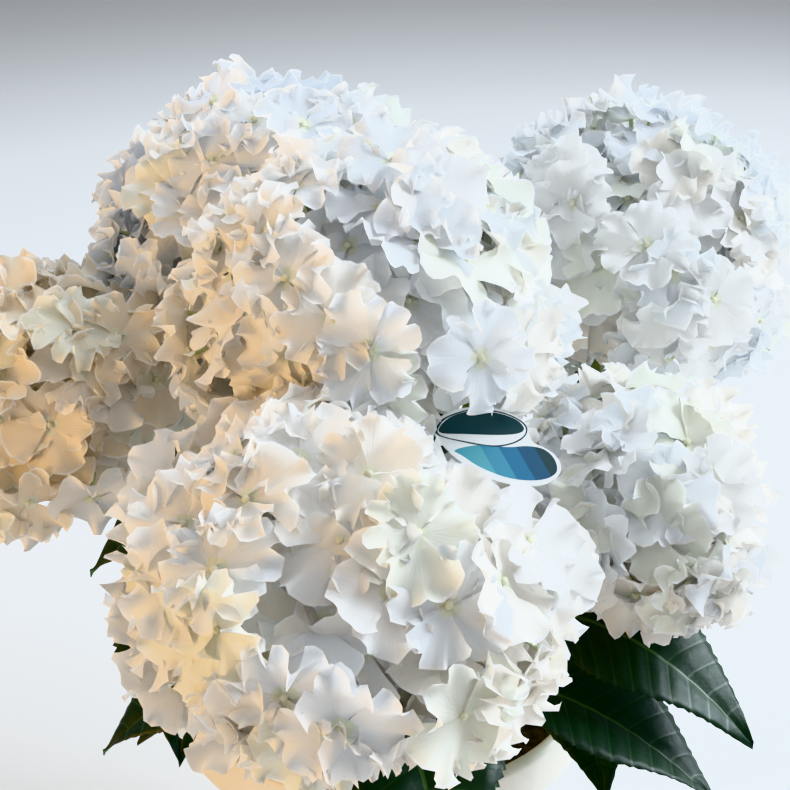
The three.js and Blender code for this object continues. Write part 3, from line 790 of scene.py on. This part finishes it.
def sepals(grid, places, curls, random):
    """The corners of four ruffled sepals for each floret. Each is bent from its heart outwards, and its
    margin rolls up and over at the crest of each ruffle and down at its trough, the more so in the
    florets that stand out furthest."""
    count = len(places) * 4
    matrices = np.repeat(np.array([np.array(place) for place in places]), 4, axis=0)
    quarter = np.tile(np.arange(4), len(places))

    def pick(low, high):
        return random.uniform(low, high, count)[:, None, None]

    u = grid.across[grid.order][None]
    v = grid.out[grid.order][None]
    length = pick(*SEPAL_LENGTHS) * FLORET_RADIUS
    edge = 1 - pick(0.12, 0.26) * np.abs(u) ** 2.6 + pick(0, 0.12) * np.exp(-((u / 0.12) ** 2))
    edge += pick(0.003, 0.012) * np.cos(u * np.pi * grid.columns / 2)
    swing = np.pi * pick(0.8, 1.5) * u + pick(*ANY_PHASE)
    frill = np.pi * pick(*RUFFLES) * u + pick(*ANY_PHASE)
    crest = np.sin(frill + 0.35 * np.sin(frill))
    crest = np.where(crest > 0, 1.35 * crest, 0.5 * crest) + 0.08
    curl = (0.5 + 1.3 * pick(0, 1) ** 1.5) * np.repeat(curls, 4)[:, None, None]
    start = pick(*ROLL_STARTS)
    rolled = np.clip((v - start) / (1 - start), 0, 1) ** 1.2
    slope = pick(-0.1, 0.26) + pick(0.2, 0.6) * np.sin(swing) * v ** 1.5 + curl * crest * rolled
    slope += pick(-0.6, 0.4) * rolled
    slope += pick(0.15, 0.5) * np.sin(1.9 * frill + pick(*ANY_PHASE)) * rolled ** 2
    middle = (slope[:, 1:] + slope[:, :-1]) / 2
    steps = np.diff(v, axis=1) * length * edge[:, 1:]
    heart = np.zeros_like(slope[:, :1])
    reach = np.concatenate([heart, np.cumsum(np.cos(middle) * steps, axis=1)], axis=1)
    z = np.concatenate([heart, np.cumsum(np.sin(middle) * steps, axis=1)], axis=1)
    side = np.abs(u) ** 4 * np.sin(np.pi * v) * np.sign(u)
    z += pick(0.8, 2.6) * u * v + side * pick(0.5, 2.2) * np.sin(9 * v + pick(*ANY_PHASE))
    z += (quarter % 2)[:, None, None] * 0.5
    angle = u * np.radians(pick(*SEPAL_HALF_ANGLES)) * (0.84 + 0.16 * v)
    angle = angle + np.radians(quarter[:, None, None] * 90 + pick(-9, 9))
    angle = angle + rolled * 0.03 * np.cos(frill)
    local = np.stack([reach * np.cos(angle), reach * np.sin(angle), z, np.ones_like(z)], axis=-1)
    placed = np.einsum("nij,nrcj->nrci", matrices, local)[..., :3].reshape(count, -1, 3)
    corners = np.empty_like(placed)
    corners[:, grid.order.ravel()] = placed
    return corners


def floret_mesh(name, grid, corners, tints):
    """A mesh of florets, each in its own tint with a greenish heart and a paler outer strip that is a painted
    highlight along the rims, whose sepals are laid out flat in its UV map."""
    slots = np.repeat(tints, 4)[:, None].repeat(len(grid.faces), axis=1)
    face_out = grid.out[grid.faces].mean(axis=1)
    slots[:, face_out < HEART_ENDS] = SLOT_HEART
    # Painted highlight: every sepal's outermost strip takes the paler rim tint.
    slots[:, face_out > RIM_HIGHLIGHT_STARTS] = SLOT_RIM_HIGHLIGHT
    mesh = joined(name, corners, grid.faces, slots)
    fan = np.stack([np.tile(grid.across * 0.5, len(corners)), np.tile(grid.out, len(corners))], axis=-1)
    fan[:, 0] += np.repeat(np.arange(len(corners)), len(grid.across))
    corner_of = np.empty(len(mesh.loops), dtype=int)
    mesh.loops.foreach_get("vertex_index", corner_of)
    mesh.uv_layers.new(name="sepal").data.foreach_set("uv", fan[corner_of].ravel())
    return mesh


def sepal_finish(name, colour):
    """A papery sepal in one plain colour, with fine veins that fan out along its own grid."""
    finish = Finish(name, colour, 0.48, Specular_IOR_Level=0.35, Sheen_Weight=0.15)
    where = finish.node("ShaderNodeUVMap", {"uv_map": "sepal"}, {})
    spaced = finish.node("ShaderNodeMapping", {}, {"Vector": where, "Scale": (26, 1.6, 1)})
    veins = finish.node("ShaderNodeTexNoise", {}, {"Vector": spaced, "Scale": 1.0, "Detail": 3}, "Fac")
    finish.relief(veins, 0.0003)
    through = finish.node("ShaderNodeBsdfTranslucent", {}, {"Color": (*colour, 1)})
    both = finish.node("ShaderNodeMixShader", {}, {0: LIGHT_THROUGH})
    finish.tree.links.new(finish.shader.outputs[0], both.socket.node.inputs[1])
    finish.tree.links.new(through.socket, both.socket.node.inputs[2])
    finish.tree.links.new(both.socket, finish.tree.nodes["Material Output"].inputs[0])
    return finish


# Cream and blue white are partly painted light: cream for the warm light from the left, blue white for cool
# shade. The heart's green is the sepal's own.
petal_finishes = [
    sepal_finish("ivory sepal", (0.94, 0.90, 0.835)),
    sepal_finish("white sepal", (0.94, 0.935, 0.92)),
    sepal_finish("cool white sepal", (0.905, 0.93, 0.955)),
    sepal_finish("green cream sepal", (0.90, 0.91, 0.82)),
    sepal_finish("cream sepal", (0.91, 0.83, 0.70)),
    sepal_finish("blue white sepal, painted shade", (0.85, 0.88, 0.92)),
    sepal_finish("sepal heart", (0.88, 0.895, 0.76)),
    # The last tint is a painted highlight along each sepal's rim.
    sepal_finish("sepal rim, painted highlight", (0.97, 0.965, 0.955)),
]
# Shares of the first six tints for each head's setting. They differ partly as painted light: nearly half
# cream for the warm-lit head, more cool white for the heads in cool light, and mostly blue white as painted
# shade on the blue head.
LIGHT_TINT_SHARES = {
    "warm": (0.30, 0.08, 0, 0.14, 0.48, 0),
    "mixed": (0.30, 0.36, 0.22, 0.12, 0, 0),
    "cool": (0.04, 0.44, 0.44, 0.08, 0, 0),
    "blue": (0.02, 0.14, 0.20, 0.04, 0, 0.60),
}
BUD_SIZE = (1.6, 1.6, 1.4)
BUD_LIFT = (0, 0, 1)
RAY_RINGS = ((1, -0.1, 6), (0.7, 0.28, 5), (0.05, 0.42, 1))
RAY_RADII = (2.4, 2.1, 1.9, 1.7, 1.6, 1.5)
RAY_SIDES = 7
PEDICEL_RADII = (1.3, 1.1, 0.95, 0.85, 0.85, 1.3)
PEDICEL_SIDES = 5
STALK_SHARES = [i / 5 for i in range(6)]
bud_skin = Finish("floret bud", (0.72, 0.71, 0.52), 0.45)
pedicel_skin = Finish("flower stalk", (0.62, 0.70, 0.42), 0.45)
bud_shape = bmesh.new()
bmesh.ops.create_icosphere(bud_shape, subdivisions=2, radius=1)
bud_corners = np.array([vert.co[:] for vert in bud_shape.verts])
bud_faces = np.array([[vert.index for vert in face.verts] for face in bud_shape.faces])
bud_shape.free()
bud_places = []
inner_corners = []
inner_tints = []
outer_grid = SepalGrid(SEPAL_COLUMNS, SEPAL_ROWS)
inner_grid = SepalGrid(INNER_COLUMNS, INNER_ROWS)
pedicels = bmesh.new()
for index, head in enumerate(HEADS):
    random = np.random.default_rng(FIRST_SEED + index)
    places, curls = zip(*floret_places(head, FIRST_SEED + index))
    bud_places += places
    tints = random.choice(SLOT_HEART, size=len(places), p=LIGHT_TINT_SHARES[head["tone"]])
    corners = sepals(outer_grid, places, curls, random)
    mesh = floret_mesh("florets_" + head["name"], outer_grid, corners, tints)
    add_piece("florets_" + head["name"], mesh, petal_finishes, "petal", "mophead_" + head["name"])
    # A plainer inner layer, so that no head is see-through between its outer florets.
    inner = floret_places(head, INNER_SEED + index, INNER_SHARE, (INNER_DEPTH,), (INNER_CURL,))
    inner, inner_curls = zip(*inner)
    inner_corners.append(sepals(inner_grid, inner, inner_curls, random))
    inner_tints.append(random.choice(SLOT_HEART, size=len(inner), p=LIGHT_TINT_SHARES[head["tone"]]))
    fork = head["stem"].at(head["stem"].whole - 2)
    ray_ends = [
        head["frame"] @ Vector((
            head["radius"] * 0.5 * math.cos(turn) * flat, head["radius"] * 0.5 * math.sin(turn) * flat,
            head["radius"] * head["flatness"] * rise,
        ))
        for flat, rise, turns in RAY_RINGS
        for turn in (2 * math.pi * i / turns + rise for i in range(turns))
    ]
    for end in ray_ends:
        add_tube(pedicels, [fork.lerp(end, share) for share in STALK_SHARES], RAY_RADII, RAY_SIDES)
    for place in places:
        heart = place @ Vector((0, 0, 0.4))
        start = min(ray_ends, key=lambda end: (end - heart).length)
        lean = (place.to_3x3() @ Vector((0, 0, -1))) * (heart - start).length * 0.35
        run = [start.lerp(heart, share) + lean * 2 * share * (1 - share) for share in STALK_SHARES]
        add_tube(pedicels, run, PEDICEL_RADII, PEDICEL_SIDES)
bmesh.ops.recalc_face_normals(pedicels, faces=pedicels.faces)
add_piece("flower_stalks", to_mesh("flower_stalks", pedicels), [pedicel_skin], "green_stem")
inner_mesh = floret_mesh(
    "inner_florets", inner_grid, np.concatenate(inner_corners), np.concatenate(inner_tints),
)
add_piece("inner_florets", inner_mesh, petal_finishes, "petal")
bud_matrices = np.array([np.array(place) for place in bud_places])
bud_local = np.column_stack([bud_corners * BUD_SIZE + BUD_LIFT, np.ones(len(bud_corners))])
bud_points = np.einsum("nij,mj->nmi", bud_matrices, bud_local)[..., :3]
bud_slots = np.zeros((len(bud_places), len(bud_faces)), dtype=int)
add_piece("floret_buds", joined("floret_buds", bud_points, bud_faces, bud_slots), [bud_skin], "petal")

# Plant label
# A thin printed plastic plate on a slim white stick, stuck between the blooms. Its outline is two
# overlapping leaf shapes, with a plain dark panel above and one below in slanted bands of blue.
STICK_FOOT = (15, -48, 160.1)
STICK_WIDTH = 9
STICK_THICKNESS = 1.6
STICK_SHORT = 1.3
LABEL_THICKNESS = 1
PLATE_OUTLINE = [
    (-25.5, 1.7), (-16.5, -6.4), (-5.8, -12), (4.5, -14.2), (13.5, -14.1), (20.6, -12.2),
    (25.3, -8.5), (26.6, -4), (24.2, 0.4), (19.5, 3.1), (14.4, 4.9), (12.4, 8.6), (10.4, 12.6),
    (5.2, 15.8), (-3.2, 17.1), (-13, 15.9), (-21.7, 11.9), (-26.8, 6.2),
]
UPPER_RING = [
    (-24.7, 1.8), (-12.3, 0.3), (-2.1, 0.2), (4.7, 2.1), (9.4, 5), (11.6, 8.4), (10.9, 11.8),
    (6.1, 14.6), (-1.4, 16), (-11.7, 15.2), (-21.1, 10.7), (-25.2, 6.1),
]
UPPER_BAND = [
    (-23.5, 2), (-12.4, 0.9), (-2.1, 0.9), (4.7, 2.8), (8.8, 5.4), (10.9, 8.3), (10.3, 11.3),
    (6, 14), (-1.4, 15.4), (-11.6, 14.6), (-20.7, 10.2), (-24.1, 5.8),
]
UPPER_PANEL = [
    (-24, 3.2), (-12.7, 4.1), (-0.5, 5.6), (6.8, 7.2), (9.9, 9), (9.7, 11.2), (6.2, 13.7),
    (-1.4, 15.1), (-11.6, 14.4), (-20.6, 9.9),
]
LOWER_PANEL = [
    (-16.8, -3.4), (-7, 0.3), (4, 1.1), (12.1, 2.8), (18.7, 2.6), (23, -0.2), (25, -4.2),
    (24.4, -7.3), (20.5, -10.1), (13.3, -11.8), (4.3, -11.7), (-6.1, -9.1), (-13.4, -5.5),
]
PRINT_STEP = 0.03
INK_EDGES = ((17, 5), (9, 4), (1, 3), (-7, 2))
INK_SLANT = (1, 0.7, 0)


def rounded(outline, steps=5):
    """A smooth closed curve through the given points."""
    points = [np.array(point, dtype=float) for point in outline]
    curve = []
    for i in range(len(points)):
        a, b, c, d = (points[(i + k) % len(points)] for k in (-1, 0, 1, 2))
        for t in np.arange(steps) / steps:
            curve.append(b + 0.5 * t * (c - a + t * (2 * a - 5 * b + 4 * c - d + t * (3 * (b - c) + d - a))))
    return curve


def add_print(outline, height, paint):
    """One printed patch: a flat face on the plate in one paint."""
    curve = rounded(outline)
    made = bmesh.ops.create_circle(label_shape, cap_ends=True, cap_tris=False, segments=len(curve), radius=1)
    for vert, (x, y) in zip(made["verts"], curve):
        vert.co = Vector((x, y, height))
    face = next(face for face in label_shape.faces if made["verts"][0] in face.verts)
    face.material_index = paint
    face.normal_update()
    if face.normal.z < 0:
        face.normal_flip()
    return face


label_shape = bmesh.new()
plate_white = Finish("label white plastic", (0.86, 0.88, 0.88), 0.3)
plate_dark = Finish("label dark ink", (0.012, 0.045, 0.055), 0.28)
inks = [
    Finish("label ink, pale", (0.09, 0.34, 0.41), 0.28),
    Finish("label ink, light", (0.05, 0.25, 0.37), 0.28),
    Finish("label ink, mid", (0.02, 0.15, 0.28), 0.28),
    Finish("label ink, deep", (0.012, 0.08, 0.16), 0.28),
]
plate = add_print(PLATE_OUTLINE, LABEL_THICKNESS / 2, 0)
backing = bmesh.ops.extrude_face_region(label_shape, geom=[plate])["geom"]
backing_verts = [item for item in backing if isinstance(item, bmesh.types.BMVert)]
bmesh.ops.translate(label_shape, vec=(0, 0, -LABEL_THICKNESS), verts=backing_verts)
bmesh.ops.recalc_face_normals(label_shape, faces=label_shape.faces)
top = LABEL_THICKNESS / 2
add_print(UPPER_RING, top + PRINT_STEP, 1)
add_print(UPPER_BAND, top + PRINT_STEP * 2, 0)
add_print(UPPER_PANEL, top + PRINT_STEP * 3, 1)
panel = add_print(LOWER_PANEL, top + PRINT_STEP, 1)
for across_label, paint in INK_EDGES:
    cut = bmesh.ops.bisect_plane(
        label_shape, geom=[panel, *panel.edges, *panel.verts], plane_co=(across_label, 0, 0),
        plane_no=INK_SLANT, dist=0.001,
    )
    faces = [item for item in cut["geom"] if isinstance(item, bmesh.types.BMFace)]
    panel = min(faces, key=lambda face: face.calc_center_median().x)
    panel.material_index = paint
bmesh.ops.transform(label_shape, matrix=label_frame, verts=label_shape.verts)
stick_run = Vector(LABEL_CENTRE) - Vector(STICK_FOOT)
stick_run *= 1 - STICK_SHORT / stick_run.length
stick = bmesh.ops.create_cube(label_shape, size=1)
stick_matrix = (
    Matrix.Translation(STICK_FOOT) @ frame_on(stick_run)
    @ Matrix.Translation((0, 0, stick_run.length / 2))
    @ Matrix.Diagonal((STICK_WIDTH, STICK_THICKNESS, stick_run.length, 1))
)
bmesh.ops.transform(label_shape, matrix=stick_matrix, verts=stick["verts"])
label_mesh = to_mesh("plant_label", label_shape, smooth=False)
add_piece("plant_label", label_mesh, [plate_white, plate_dark, *inks], "label_card", "label")

# Floor and light
# A plain pale floor. Soft warm light falls from the left, and soft cool daylight from the right, from
# behind and from above.
FLOOR_RADIUS = 12
LIT_POINT = Vector((0, 0, 0.3))
SURROUNDINGS = (0.9, 0.94, 1.0, 1)
SURROUNDINGS_STRENGTH = 0.32
floor_shape = bmesh.new()
bmesh.ops.create_circle(floor_shape, cap_ends=True, segments=64, radius=FLOOR_RADIUS)
floor_mesh = bpy.data.meshes.new("floor")
floor_shape.to_mesh(floor_mesh)
floor_shape.free()
floor = bpy.data.objects.new("floor", floor_mesh)
bpy.context.collection.objects.link(floor)
floor_paint = Finish("pale floor", (0.7, 0.69, 0.68), 0.7)
floor_mesh.materials.append(floor_paint.material)
LAMPS = [
    ("warm_left", (-1.5, -0.85, 0.3), 1.2, 29, (1.0, 0.60, 0.20)),
    ("cool_right", (1.45, 0.4, 1.15), 1.3, 76, (0.80, 0.90, 1.0)),
    ("cool_back", (-0.4, 1.1, 1.5), 1.2, 19, (0.74, 0.87, 1.0)),
    ("cool_above", (0.7, -0.5, 1.7), 1.2, 6, (0.98, 0.98, 1.0)),
]
for name, place, size, power, tint in LAMPS:
    lamp = bpy.data.lights.new(name, "AREA")
    lamp.size = size
    lamp.energy = power
    lamp.color = tint
    holder = bpy.data.objects.new(name, lamp)
    holder.location = place
    holder.rotation_euler = (LIT_POINT - Vector(place)).to_track_quat("-Z", "Y").to_euler()
    bpy.context.collection.objects.link(holder)
world = bpy.data.worlds.new("soft surroundings")
world.use_nodes = True
backdrop = world.node_tree.nodes["Background"]
backdrop.inputs["Color"].default_value = SURROUNDINGS
backdrop.inputs["Strength"].default_value = SURROUNDINGS_STRENGTH
bpy.context.scene.world = world
bpy.context.scene.view_settings.view_transform = "Khronos PBR Neutral"
